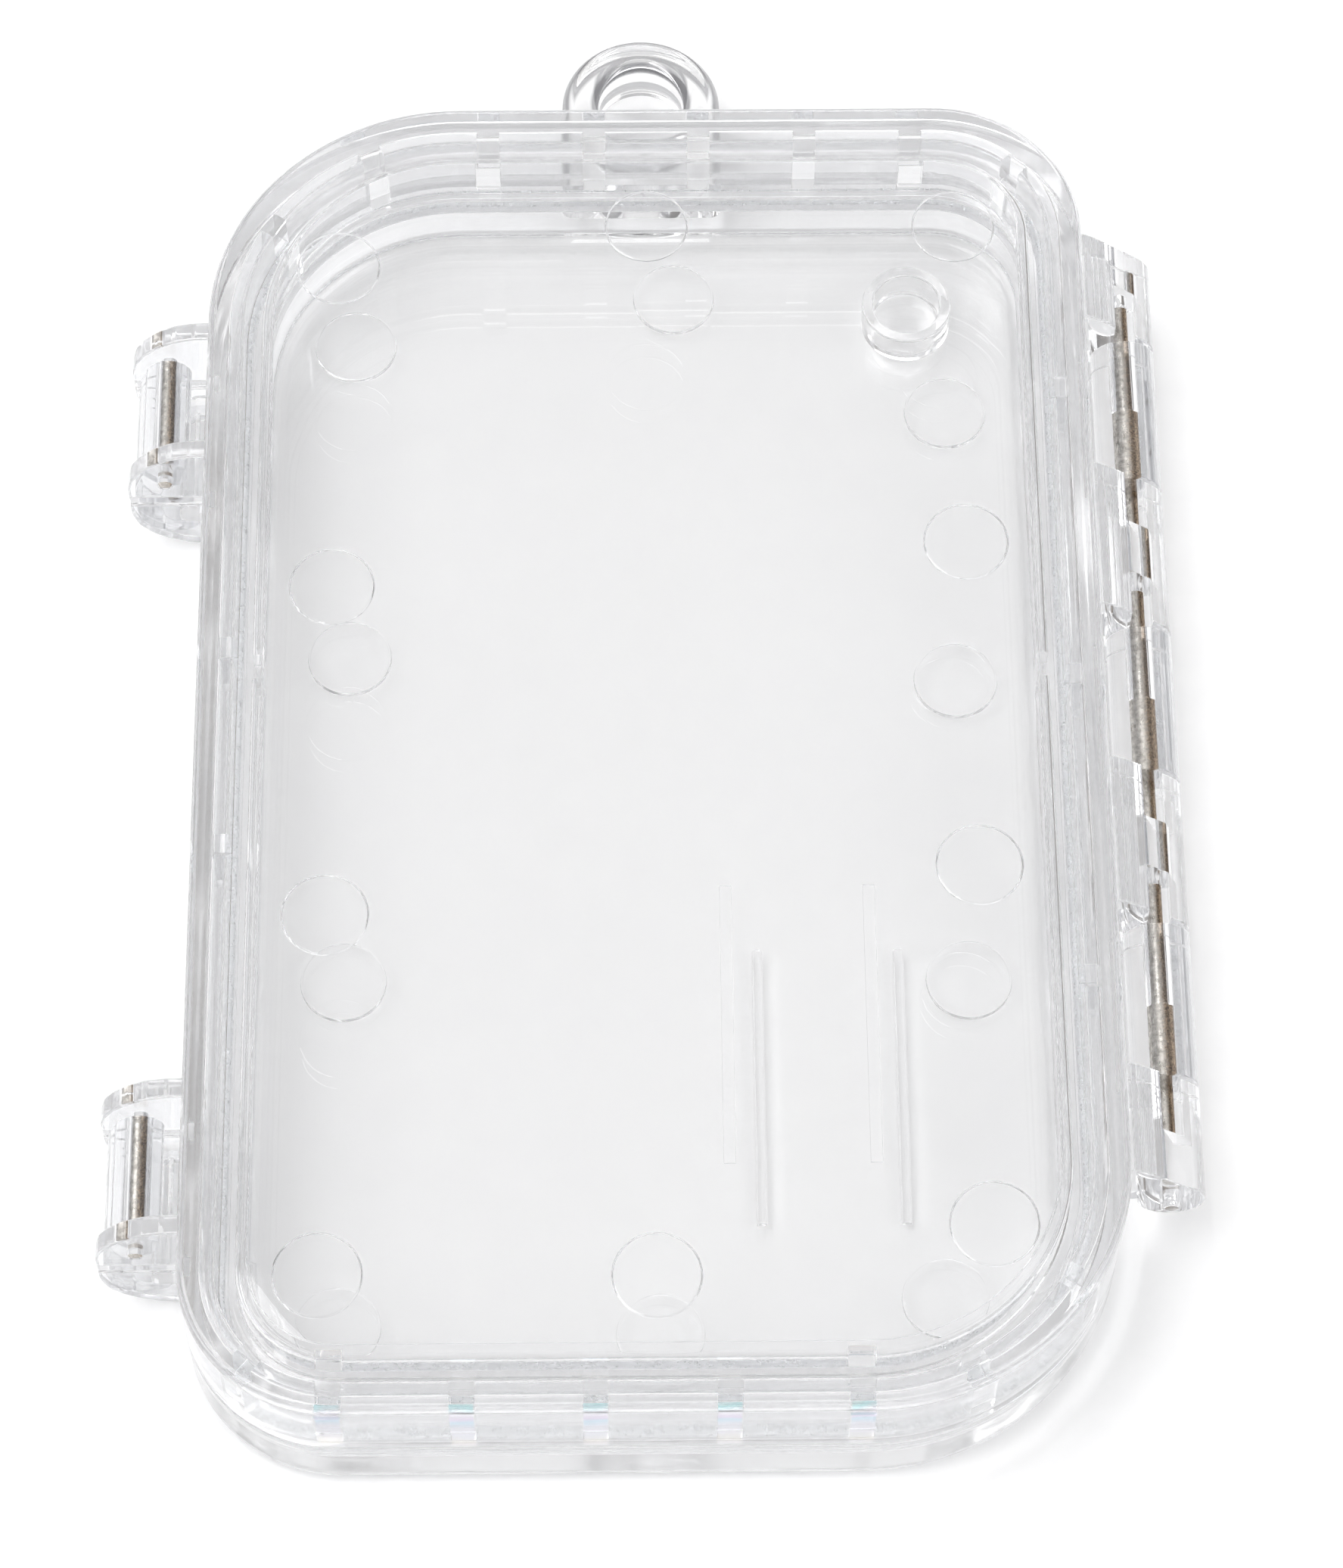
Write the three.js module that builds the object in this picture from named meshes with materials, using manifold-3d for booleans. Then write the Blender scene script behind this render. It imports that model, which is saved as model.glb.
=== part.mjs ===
// Clear hinged pocket case for plectrums: two moulded shells that meet on a parting plane,
// a seal between them, a long hinge pin on the right and two swinging latches on the left.
// Millimetres, +Z up. Origin: centre of the flat back face. +Y runs towards the hanging loop,
// +X towards the hinge, +Z out of the front window.

import * as THREE from 'three';
import { mergeVertices } from 'three/addons/utils/BufferGeometryUtils.js';
import Module from 'manifold-3d';

// ---------------------------------------------------------------- driving dimensions
const HALF_W = 34.1;          // half width of the body, without hinge and latches
const HALF_L = 54.5;          // half length of the body, without the loop
const R_WIDE = 19.3;          // outer corner radius, top left and bottom right
const R_TIGHT = 11.4;         // outer corner radius, top right and bottom left
const THICK = 15.0;           // closed thickness
const GAP = 0.3;              // clearance between separate pieces
const PART_Z = 7.3;           // parting plane
const REAR_TOP = PART_Z - GAP / 2;
const COVER_BOTTOM = PART_Z + GAP / 2;

const SKIN = 1.8;             // floor and window thickness
const RIM = 4.15;             // outer face to cavity wall
const OUTER_WALL = 1.53;      // outer wall of the cover's rim
const INNER_WALL_OUT = 2.75;  // outer face of the cover's inner wall, as an inset
const WINDOW_INSET = 5.05;    // raised rim around the window
const WINDOW_STEP = 0.25;     // how far the window lies below the rim
const BACK_ROUND = 2.0;       // rounding of the rear shell's outer edge
const FRONT_ROUND = 0.7;      // rounding of the cover's outer edge
const FLOOR_FILLET = 1.5;

const GROOVE_OUT = 1.9;       // seal groove, as insets from the outer face
const GROOVE_IN = 3.4;
const GROOVE_FLOOR = 4.85;
const SEAL_OUT = GROOVE_OUT + GAP;
const SEAL_IN = GROOVE_IN - GAP;

const HINGE_X = 37.5;         // hinge axis
const HINGE_Z = THICK / 2;    // half the thickness, so the cover lies flat when fully open
const HINGE_R = 2.5;
const HINGE_PIN_R = 0.6;
const HINGE_BORE_R = HINGE_PIN_R + GAP;
const HINGE_PIN_Y = [-32.0, 42.6];
const KNUCKLES = [43.5, 35.7, 22.9, 10.2, -2.4, -14.8, -27.4, -36.1];  // ends, from the loop end down
const PIN_WINDOWS = [[39.75, 35.0], [23.6, 18.5], [14.1, 9.5], [-1.7, -6.8], [-10.9, -15.5], [-26.7, -32.15]];  // open over the pin
const PIN_WINDOW_X = [36.72, 38.42];

const LATCH_X = -37.4;        // latch pivots
const LATCH_Z = 10.2;
const LATCH_R = 1.78;
const LATCH_PIN_R = 0.55;
const LATCH_BORE_R = LATCH_PIN_R + GAP;
const LATCH_Y = { upper: 28.9, lower: -34.85 };
const LUG_HALF = 6.05;        // half width over a pair of lugs
const LUG_GAP = 4.5;          // half the space between a pair of lugs
const LATCH_HALF = LUG_GAP - GAP;
const LUG_X = -40.35;         // outer face of the lugs

const LOOP = { x: -0.3, y: 60.6, r: 6.4, hole: 3.45, z0: 1.8, z1: 6.6, round: 0.9 };
const BOSS = { x: 20.8, y: 42.0, r: 3.55, hole: 2.65, z: 4.7 };

const PAD_R = 3.2;            // round pads on the floor
const PAD_H = 0.3;
const FLOOR_PADS = [[-23.3, 40.0], [-23.3, 11.7], [-23.3, -15.9], [-23.3, -43.6], [2.2, 44.3], [0.3, -44.3],
  [23.7, 33.5], [23.7, 9.4], [23.8, -16.1], [21.2, -41.7]];
const MARK_R = 3.25;          // round marks on the inside of the window
const MARK_H = 0.15;
const WINDOW_MARKS = [[-24.1, 40.3], [-24.1, 11.85], [-24.1, -15.6], [-24.1, -43.8], [0, 44.0], [0, -44.0],
  [24.1, 43.8], [24.1, 15.4], [24.1, -11.9], [24.1, -40.3]];
const BARS = [[5.3, -24.5], [15.85, -24.5]];       // thin bars inside the window
const BAR_SIZE = [0.88, 22.0, 0.15];
const RIBS = [[7.85, -24.7], [18.5, -24.7]];       // matching ribs on the floor
const RIB_SIZE = [0.7, 22.2, 0.5];

const RIB_W = 1.8;            // cross ribs in the cover's rim
const TOP_RIBS = [-12.5, -4.1, 4.2, 12.6, 21.0];
const BOTTOM_RIBS = [-23.2, -13.8, -4.4, 5.1, 14.4];
const LEFT_RIBS = [6.6, -9.9];
const RIGHT_RIBS = [29.0, 3.9, -21.0];
const CORNER_RIBS = { tl: [24, 58], tr: [45], br: [26, 58], bl: [42] };  // degrees from the short side's normal
const LOCATORS = [[-12.5, 'top'], [21.0, 'top'], [-23.2, 'bottom'], [14.4, 'bottom'], [5.0, 'left'], [4.8, 'right']];
const LOCATOR = { depth: 0.9, width: 2.0, z: 10.2 };

// ---------------------------------------------------------------- helpers
const wasm = await Module();
wasm.setup();

function solid(geometry) {
  const g = geometry.index ? geometry.toNonIndexed() : geometry.clone();
  g.deleteAttribute('normal');
  g.deleteAttribute('uv');
  const m = mergeVertices(g, 1e-4);
  return new wasm.Manifold(new wasm.Mesh({
    numProp: 3,
    vertProperties: new Float32Array(m.attributes.position.array),
    triVerts: new Uint32Array(m.index.array),
  }));
}

function toGeometry(manifold) {
  const mesh = manifold.getMesh();
  const n = mesh.vertProperties.length / mesh.numProp;
  const position = new Float32Array(n * 3);
  for (let i = 0; i < n; i++) for (let k = 0; k < 3; k++) position[i * 3 + k] = mesh.vertProperties[i * mesh.numProp + k];
  const g = new THREE.BufferGeometry();
  g.setAttribute('position', new THREE.BufferAttribute(position, 3));
  g.setIndex(new THREE.BufferAttribute(new Uint32Array(mesh.triVerts), 1));
  g.computeVertexNormals();
  return g;
}

const join = (...parts) => parts.flat().reduce((a, b) => a.add(b));

// The body's outline, inset by `inset`: a rectangle with two wide and two tight corners.
function outline(inset, steps = 7) {
  const hx = HALF_W - inset, hy = HALF_L - inset;
  const corners = [
    [1, 1, R_TIGHT, 0], [-1, 1, R_WIDE, 90], [-1, -1, R_TIGHT, 180], [1, -1, R_WIDE, 270],
  ];
  const points = [];
  for (const [sx, sy, radius, start] of corners) {
    const r = Math.max(radius - inset, 0.4);
    for (let i = 0; i <= steps; i++) {
      const a = THREE.MathUtils.degToRad(start + 90 * i / steps);
      points.push(new THREE.Vector2(sx * (hx - r) + r * Math.cos(a), sy * (hy - r) + r * Math.sin(a)));
    }
  }
  return points;
}

function prism(points, z0, z1) {
  const g = new THREE.ExtrudeGeometry(new THREE.Shape(points), { depth: z1 - z0, bevelEnabled: false });
  g.translate(0, 0, z0);
  return solid(g);
}

// A prism whose edges at both ends are rounded by r, with the full outline `inset` between them.
function roundedPrism(inset, z0, z1, r, segments) {
  const g = new THREE.ExtrudeGeometry(new THREE.Shape(outline(inset + r)), {
    depth: z1 - z0 - 2 * r, bevelEnabled: true, bevelThickness: r, bevelSize: r, bevelSegments: segments,
  });
  g.translate(0, 0, z0 + r);
  return solid(g);
}

function box(x0, x1, y0, y1, z0, z1) {
  const g = new THREE.BoxGeometry(x1 - x0, y1 - y0, z1 - z0);
  g.translate((x0 + x1) / 2, (y0 + y1) / 2, (z0 + z1) / 2);
  return solid(g);
}

function disc(x, y, r, z0, z1, sides = 24) {
  const g = new THREE.CylinderGeometry(r, r, z1 - z0, sides);
  g.rotateX(Math.PI / 2);
  g.translate(x, y, (z0 + z1) / 2);
  return solid(g);
}

function rod(x, z, r, y0, y1, sides = 20) {
  const g = new THREE.CylinderGeometry(r, r, y1 - y0, sides);
  g.translate(x, (y0 + y1) / 2, z);
  return solid(g);
}

// A plate of constant section in X and Z, from y0 to y1.
function plate(section, y0, y1) {
  const shape = new THREE.Shape(section.map(([x, z]) => new THREE.Vector2(x, z)));
  const g = new THREE.ExtrudeGeometry(shape, { depth: y1 - y0, bevelEnabled: false });
  g.rotateX(Math.PI / 2);
  g.translate(0, y1, 0);
  return solid(g);
}

const ring = (out, inn, z0, z1) => prism(outline(out), z0, z1).subtract(prism(outline(inn), z0 - 1, z1 + 1));

// Cross ribs of the cover's rim, as boxes that run across the channel.
function rimRibs(z0, z1) {
  const h = RIB_W / 2;
  const parts = [];
  for (const x of TOP_RIBS) parts.push(box(x - h, x + h, HALF_L - 3, HALF_L - 1, z0, z1));
  for (const x of BOTTOM_RIBS) parts.push(box(x - h, x + h, -HALF_L + 1, -HALF_L + 3, z0, z1));
  for (const y of LEFT_RIBS) parts.push(box(-HALF_W + 1, -HALF_W + 3, y - h, y + h, z0, z1));
  for (const y of RIGHT_RIBS) parts.push(box(HALF_W - 3, HALF_W - 1, y - h, y + h, z0, z1));
  const corner = (sx, sy, radius, angles) => {
    for (const angle of angles) {
      const g = new THREE.BoxGeometry(RIB_W, 2, z1 - z0);
      g.translate(0, radius - 2, 0);
      g.rotateZ(THREE.MathUtils.degToRad(-sx * sy * angle) + (sy < 0 ? Math.PI : 0));
      g.translate(sx * (HALF_W - radius), sy * (HALF_L - radius), (z0 + z1) / 2);
      parts.push(solid(g));
    }
  };
  corner(-1, 1, R_WIDE, CORNER_RIBS.tl);
  corner(1, 1, R_TIGHT, CORNER_RIBS.tr);
  corner(1, -1, R_WIDE, CORNER_RIBS.br);
  corner(-1, -1, R_TIGHT, CORNER_RIBS.bl);
  return join(parts);
}

// ---------------------------------------------------------------- rear shell
function rearShell() {
  let s = roundedPrism(0, 0, 12, BACK_ROUND, 3).subtract(box(-60, 60, -80, 80, REAR_TOP, 20));

  // hanging loop on the end wall
  const loop = new THREE.Shape();
  const rr = LOOP.r - LOOP.round;
  loop.moveTo(LOOP.x - rr, HALF_L - 1);
  loop.lineTo(LOOP.x + rr, HALF_L - 1);
  loop.lineTo(LOOP.x + rr, LOOP.y);
  loop.absarc(LOOP.x, LOOP.y, rr, 0, Math.PI, false);
  loop.lineTo(LOOP.x - rr, HALF_L - 1);
  const eye = new THREE.Path();
  eye.absarc(LOOP.x, LOOP.y, LOOP.hole + LOOP.round, 0, Math.PI * 2, true);
  loop.holes.push(eye);
  const lg = new THREE.ExtrudeGeometry(loop, {
    depth: LOOP.z1 - LOOP.z0 - 2 * LOOP.round, curveSegments: 14,
    bevelEnabled: true, bevelThickness: LOOP.round, bevelSize: LOOP.round, bevelSegments: 2,
  });
  lg.translate(0, 0, LOOP.z0 + LOOP.round);
  s = s.add(solid(lg));

  // lugs beside each latch, and the catch bar that the latch hooks under
  const lug = [[-33, REAR_TOP], [LUG_X, REAR_TOP], [LUG_X, 5.6], [-39.9, 4.0], [-39.0, 2.8], [-37.8, 1.9], [-36.2, 1.25], [-34.5, 1.0], [-33, 1.0]];
  const bar = [[-33, 6.3], [-35.6, 6.1], [-36.7, 5.3], [-36.7, 3.9], [-36.2, 3.6], [-33, 3.6]];
  for (const y of Object.values(LATCH_Y)) {
    s = join(s, plate(lug, y + LUG_GAP, y + LUG_HALF), plate(lug, y - LUG_HALF, y - LUG_GAP), plate(bar, y - LUG_GAP - 0.5, y + LUG_GAP + 0.5));
  }

  // hinge knuckles 2, 4 and 6
  const arm = [[32.5, 6.9], [35.2, 6.9], [36.8, 8.2], [39.6, 6.2], [38.9, 4.6], [36.6, 3.0], [34.6, 1.5], [32.5, 1.5]];
  for (const k of [1, 3, 5]) {
    const y1 = KNUCKLES[k] - GAP / 2, y0 = KNUCKLES[k + 1] + GAP / 2;
    s = join(s, rod(HINGE_X, HINGE_Z, HINGE_R, y0, y1, 24), plate(arm, y0, y1));
  }

  // cavity with a filleted floor, and the seal groove
  s = s.subtract(roundedPrism(RIM, SKIN, 14, FLOOR_FILLET, 2));
  s = s.subtract(ring(GROOVE_OUT, GROOVE_IN, GROOVE_FLOOR, 9));
  s = s.subtract(rod(HINGE_X, HINGE_Z, HINGE_BORE_R, -45, 50, 16));

  // floor details
  for (const [x, y] of FLOOR_PADS) s = s.add(disc(x, y, PAD_R, SKIN - 0.5, SKIN + PAD_H, 20));
  for (const [x, y] of RIBS) s = s.add(box(x - RIB_SIZE[0] / 2, x + RIB_SIZE[0] / 2, y - RIB_SIZE[1] / 2, y + RIB_SIZE[1] / 2, SKIN - 0.5, SKIN + RIB_SIZE[2]));
  s = s.add(disc(BOSS.x, BOSS.y, BOSS.r, SKIN - 0.5, BOSS.z, 24)).subtract(disc(BOSS.x, BOSS.y, BOSS.hole, SKIN, BOSS.z + 1, 24));
  return s;
}

// ---------------------------------------------------------------- front cover
function frontCover() {
  let s = roundedPrism(0, 2, THICK, FRONT_ROUND, 2).subtract(box(-60, 60, -80, 80, 0, COVER_BOTTOM));
  s = s.subtract(prism(outline(WINDOW_INSET), THICK - WINDOW_STEP, THICK + 1));
  s = s.subtract(prism(outline(RIM), 0, THICK - SKIN));

  // channel in the rim, open towards the parting plane and crossed by ribs
  const channel = ring(OUTER_WALL, INNER_WALL_OUT, 0, THICK - SKIN).subtract(rimRibs(COVER_BOTTOM + 0.3, THICK));
  s = s.subtract(channel);

  // lugs that carry the latch pins
  const lug = [[-32.8, COVER_BOTTOM], [-32.8, 14.6], [-35.2, 14.5], [-36.8, 14.1], [-38.2, 13.2], [-39.3, 12.1], [-40.0, 10.9], [LUG_X, 9.4], [LUG_X, COVER_BOTTOM]].reverse();
  for (const y of Object.values(LATCH_Y)) s = join(s, plate(lug, y + LUG_GAP, y + LUG_HALF), plate(lug, y - LUG_HALF, y - LUG_GAP));

  // hinge knuckles 1, 3, 5 and 7
  const arm = [[33.0, 7.7], [37.5, 7.7], [39.6, 8.9], [39.0, 9.6], [35.4, 12.6], [34.4, 13.2], [33.0, 13.2]];
  for (const k of [0, 2, 4, 6]) {
    const y1 = k === 0 ? KNUCKLES[k] : KNUCKLES[k] - GAP / 2;
    const y0 = k === 6 ? KNUCKLES[k + 1] : KNUCKLES[k + 1] + GAP / 2;
    s = join(s, rod(HINGE_X, HINGE_Z, HINGE_R, y0, y1, 24), plate(arm, y0, y1));
  }
  s = s.subtract(rod(HINGE_X, HINGE_Z, HINGE_BORE_R, HINGE_PIN_Y[0] - GAP, 50, 16));
  for (const [y1, y0] of PIN_WINDOWS) s = s.subtract(box(...PIN_WINDOW_X, y0, y1, HINGE_Z - 0.15, THICK));
  for (const y of Object.values(LATCH_Y)) s = s.subtract(rod(LATCH_X, LATCH_Z, LATCH_BORE_R, y - 7, y + 7, 16));

  // inside of the window and of the inner wall
  const z = THICK - SKIN;
  for (const [x, y] of WINDOW_MARKS) s = s.add(disc(x, y, MARK_R, z - MARK_H, z + 0.5, 20));
  for (const [x, y] of BARS) s = s.add(box(x - BAR_SIZE[0] / 2, x + BAR_SIZE[0] / 2, y - BAR_SIZE[1] / 2, y + BAR_SIZE[1] / 2, z - BAR_SIZE[2], z + 0.5));
  const cx = HALF_W - RIM, cy = HALF_L - RIM, d = LOCATOR.depth, w = LOCATOR.width / 2;
  for (const [p, side] of LOCATORS) {
    const b = side === 'top' ? [p - w, p + w, cy - d, cy + 0.5] : side === 'bottom' ? [p - w, p + w, -cy - 0.5, -cy + d]
      : side === 'left' ? [-cx - 0.5, -cx + d, p - w, p + w] : [cx - d, cx + 0.5, p - w, p + w];
    s = s.add(box(...b, LOCATOR.z, z + 0.5));
  }
  return s;
}

// ---------------------------------------------------------------- latch: barrel, lever and hook in one moulding
function latch(y) {
  const lever = [[-38.4, 11.2], [-39.3, 10.2], [-39.85, 8.6], [-40.05, 6.6], [-40.05, 4.6], [-39.8, 3.0], [-39.2, 1.9], [-38.2, 1.4],
    [-36.4, 1.6], [-35.5, 2.1], [-35.3, 2.7], [-35.3, 3.2], [-37.3, 3.2], [-37.9, 3.9], [-38.0, 5.0], [-38.0, 7.0], [-37.4, 8.6], [-36.4, 9.6]];
  return join(rod(LATCH_X, LATCH_Z, LATCH_R, y - LATCH_HALF, y + LATCH_HALF, 24), plate(lever, y - LATCH_HALF, y + LATCH_HALF))
    .subtract(rod(LATCH_X, LATCH_Z, LATCH_BORE_R, y - 7, y + 7, 16));
}

// ---------------------------------------------------------------- assembly
const clear = () => new THREE.MeshStandardMaterial({ color: 0xe9eef1, roughness: 0.06, metalness: 0, transparent: true, opacity: 0.35 });
const steel = () => new THREE.MeshStandardMaterial({ color: 0x8f8a80, roughness: 0.34, metalness: 1 });
const silicone = () => new THREE.MeshStandardMaterial({ color: 0xf2f5f6, roughness: 0.55, metalness: 0, transparent: true, opacity: 0.6 });

const assembly = new THREE.Group();
function place(name, geometry, material) {
  const mesh = new THREE.Mesh(geometry, material);
  mesh.name = name;
  assembly.add(mesh);
}

place('rear_shell', toGeometry(rearShell()), clear());
place('front_cover', toGeometry(frontCover()), clear());
place('gasket', toGeometry(ring(SEAL_OUT, SEAL_IN, GROOVE_FLOOR + GAP, REAR_TOP)), silicone());
place('hinge_pin', toGeometry(rod(HINGE_X, HINGE_Z, HINGE_PIN_R, ...HINGE_PIN_Y, 16)), steel());
for (const [side, y] of Object.entries(LATCH_Y)) {
  place(`${side}_latch`, toGeometry(latch(y)), clear());
  place(`${side}_latch_pin`, toGeometry(rod(LATCH_X, LATCH_Z, LATCH_PIN_R, y - LUG_HALF + 0.05, y + LUG_HALF - 0.05, 16)), steel());
}

export default assembly;
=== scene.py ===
import math

import bmesh
import bpy
from mathutils import Matrix, Vector


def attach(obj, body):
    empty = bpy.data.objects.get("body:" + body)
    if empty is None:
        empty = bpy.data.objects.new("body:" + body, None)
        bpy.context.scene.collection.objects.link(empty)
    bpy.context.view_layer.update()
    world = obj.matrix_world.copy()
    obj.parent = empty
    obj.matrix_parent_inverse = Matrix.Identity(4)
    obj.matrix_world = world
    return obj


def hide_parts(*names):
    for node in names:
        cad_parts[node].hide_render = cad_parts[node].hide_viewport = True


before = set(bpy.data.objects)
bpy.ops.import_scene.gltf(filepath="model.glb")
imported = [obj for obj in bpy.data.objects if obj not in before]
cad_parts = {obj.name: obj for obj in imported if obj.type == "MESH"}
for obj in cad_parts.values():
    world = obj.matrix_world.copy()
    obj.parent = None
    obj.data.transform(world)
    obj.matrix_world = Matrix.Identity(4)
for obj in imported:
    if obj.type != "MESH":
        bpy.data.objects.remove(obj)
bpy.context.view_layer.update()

MM = 0.001

# ---------------------------------------------------------------- driving dimensions, in millimetres, as in the CAD
HALF_W, HALF_L = 34.1, 54.5
R_WIDE, R_TIGHT = 19.3, 11.4
THICK = 15.0
REAR_TOP, COVER_BOTTOM = 7.15, 7.45
SKIN, RIM = 1.8, 4.15
OUTER_WALL, INNER_WALL_OUT = 1.53, 2.75
WINDOW_INSET, WINDOW_STEP = 5.05, 0.25
BACK_ROUND, FRONT_ROUND, FLOOR_FILLET = 2.0, 0.7, 1.5
GROOVE_OUT, GROOVE_IN, GROOVE_FLOOR = 1.9, 3.4, 4.85
HINGE_X, HINGE_Z, HINGE_R, HINGE_PIN_R = 37.5, 7.5, 2.5, 0.6
HINGE_PIN_Y = (-32.0, 42.6)
KNUCKLES = [43.5, 35.7, 22.9, 10.2, -2.4, -14.8, -27.4, -36.1]
# straight-pull windows over the pin in the cover's knuckles, as (upper, lower) Y, and their X range
PIN_WINDOWS = [(39.75, 35.0), (23.6, 18.5), (14.1, 9.5), (-1.7, -6.8), (-10.9, -15.5), (-26.7, -32.15)]
PIN_WINDOW_X = (36.72, 38.42)
TIGHT_BORES = [(29.7, 22.0), (4.3, -3.0), (-21.2, -28.0)]     # where the rear shell grips the pin
LATCH_X, LATCH_Z, LATCH_R, LATCH_PIN_R = -37.4, 10.2, 1.78, 0.55
LATCH_Y = {"upper": 28.9, "lower": -34.85}
LUG_HALF, LUG_GAP, LATCH_HALF, LUG_X = 6.05, 4.5, 4.2, -40.35
LOOP = dict(x=-0.3, y=60.6, r=6.4, hole=3.45, z0=1.8, z1=6.6, round=1.0)
BOSS = dict(x=20.8, y=42.0, r=3.55, hole=2.65, z=4.7)
FLOOR_PADS = [(-23.3, 40.0), (-23.3, 11.7), (-23.3, -15.9), (-23.3, -43.6), (2.2, 44.3), (0.3, -44.3),
              (23.7, 33.5), (23.7, 9.4), (23.8, -16.1), (21.2, -41.7)]
WINDOW_MARKS = [(-24.1, 40.3), (-24.1, 11.85), (-24.1, -15.6), (-24.1, -43.8), (0, 44.0), (0, -44.0),
                (24.1, 43.8), (24.1, 15.4), (24.1, -11.9), (24.1, -40.3)]
BARS = [(5.3, -24.5), (15.85, -24.5)]
RIBS = [(7.85, -24.7), (18.5, -24.7)]
RIB_W = 1.8
TOP_RIBS = [-12.5, -4.1, 4.2, 12.6, 21.0]
BOTTOM_RIBS = [-23.2, -13.8, -4.4, 5.1, 14.4]
LEFT_RIBS = [6.6, -9.9]
RIGHT_RIBS = [29.0, 3.9, -21.0]
CORNER_RIBS = [(-1, 1, R_WIDE, (24, 58)), (1, 1, R_TIGHT, (45,)), (1, -1, R_WIDE, (26, 58)), (-1, -1, R_TIGHT, (42,))]
LOCATORS = [(-12.5, "top"), (21.0, "top"), (-23.2, "bottom"), (14.4, "bottom"), (5.0, "left"), (4.8, "right")]

ARC = 28  # steps round each corner of the body


# ---------------------------------------------------------------- mesh helpers (all in millimetres)
def outline(inset, steps=ARC):
    hx, hy = HALF_W - inset, HALF_L - inset
    pts = []
    for sx, sy, radius, start in ((1, 1, R_TIGHT, 0), (-1, 1, R_WIDE, 90), (-1, -1, R_TIGHT, 180), (1, -1, R_WIDE, 270)):
        r = max(radius - inset, 0.4)
        for i in range(steps + 1):
            a = math.radians(start + 90 * i / steps)
            pts.append((sx * (hx - r) + r * math.cos(a), sy * (hy - r) + r * math.sin(a)))
    return pts


def rounded(points, closed=True):
    """points: (u, v, radius, segments). Replaces each corner by an arc tangent to both sides."""
    out, n = [], len(points)
    for i, p in enumerate(points):
        u, v = p[0], p[1]
        r = p[2] if len(p) > 2 else 0
        seg = p[3] if len(p) > 3 else 4
        if r <= 0 or (not closed and i in (0, n - 1)):
            out.append((u, v))
            continue
        a = Vector((points[i - 1][0] - u, points[i - 1][1] - v))
        b = Vector((points[(i + 1) % n][0] - u, points[(i + 1) % n][1] - v))
        la, lb = a.length, b.length
        a.normalize(); b.normalize()
        half = 0.5 * math.acos(max(-1, min(1, a.dot(b))))
        t = min(r / math.tan(half), 0.49 * la, 0.49 * lb)
        rr = t * math.tan(half)
        c = Vector((u, v)) + (a + b).normalized() * (rr / math.sin(half))
        p0, p1 = Vector((u, v)) + a * t - c, Vector((u, v)) + b * t - c
        sweep = math.atan2(p0.x * p1.y - p0.y * p1.x, p0.dot(p1))
        a0 = math.atan2(p0.y, p0.x)
        for k in range(seg + 1):
            ang = a0 + sweep * k / seg
            out.append((c.x + rr * math.cos(ang), c.y + rr * math.sin(ang)))
    return out


def as_object(bm, name="tmp"):
    bmesh.ops.remove_doubles(bm, verts=bm.verts, dist=1e-5)
    bmesh.ops.recalc_face_normals(bm, faces=bm.faces)
    me = bpy.data.meshes.new(name)
    bm.to_mesh(me)
    bm.free()
    o = bpy.data.objects.new(name, me)
    bpy.context.collection.objects.link(o)
    return o


def swept(profile):
    """A closed solid: the open profile of (inset, z), from one flat face to the other, carried round the outline."""
    bm = bmesh.new()
    rings = [[bm.verts.new((x, y, z)) for x, y in outline(i)] for i, z in profile]
    n = len(rings[0])
    for a, b in zip(rings, rings[1:]):
        for k in range(n):
            bm.faces.new((a[k], a[(k + 1) % n], b[(k + 1) % n], b[k]))
    bm.faces.new(rings[0])
    bm.faces.new(rings[-1])
    return as_object(bm)


def swept_ring(profile, steps=ARC, wobble=None):
    """A ring of closed section (inset, z)."""
    bm = bmesh.new()
    rings = [[bm.verts.new((x, y, z)) for x, y in outline(i, steps)] for i, z in profile]
    n, m = len(rings[0]), len(rings)
    for j in range(m):
        a, b = rings[j], rings[(j + 1) % m]
        for k in range(n):
            bm.faces.new((a[k], a[(k + 1) % n], b[(k + 1) % n], b[k]))
    return as_object(bm)


def lathe(x, y, profile, axis="Z", steps=48):
    """profile: (radius, height) from one end on the axis to the other."""
    bm = bmesh.new()
    rings = []
    for r, h in profile:
        if r < 1e-6:
            rings.append([bm.verts.new((x, y, h))])
            continue
        rings.append([bm.verts.new((x + r * math.cos(2 * math.pi * k / steps), y + r * math.sin(2 * math.pi * k / steps), h))
                      for k in range(steps)])
    for a, b in zip(rings, rings[1:]):
        for k in range(steps):
            q = [a[k % len(a)], a[(k + 1) % len(a)], b[(k + 1) % len(b)], b[k % len(b)]]
            q = [v for i, v in enumerate(q) if v not in q[:i]]
            if len(q) > 2:
                bm.faces.new(q)
    for ring in (rings[0], rings[-1]):
        if len(ring) > 1:
            bm.faces.new(ring)
    return as_object(bm)


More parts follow.
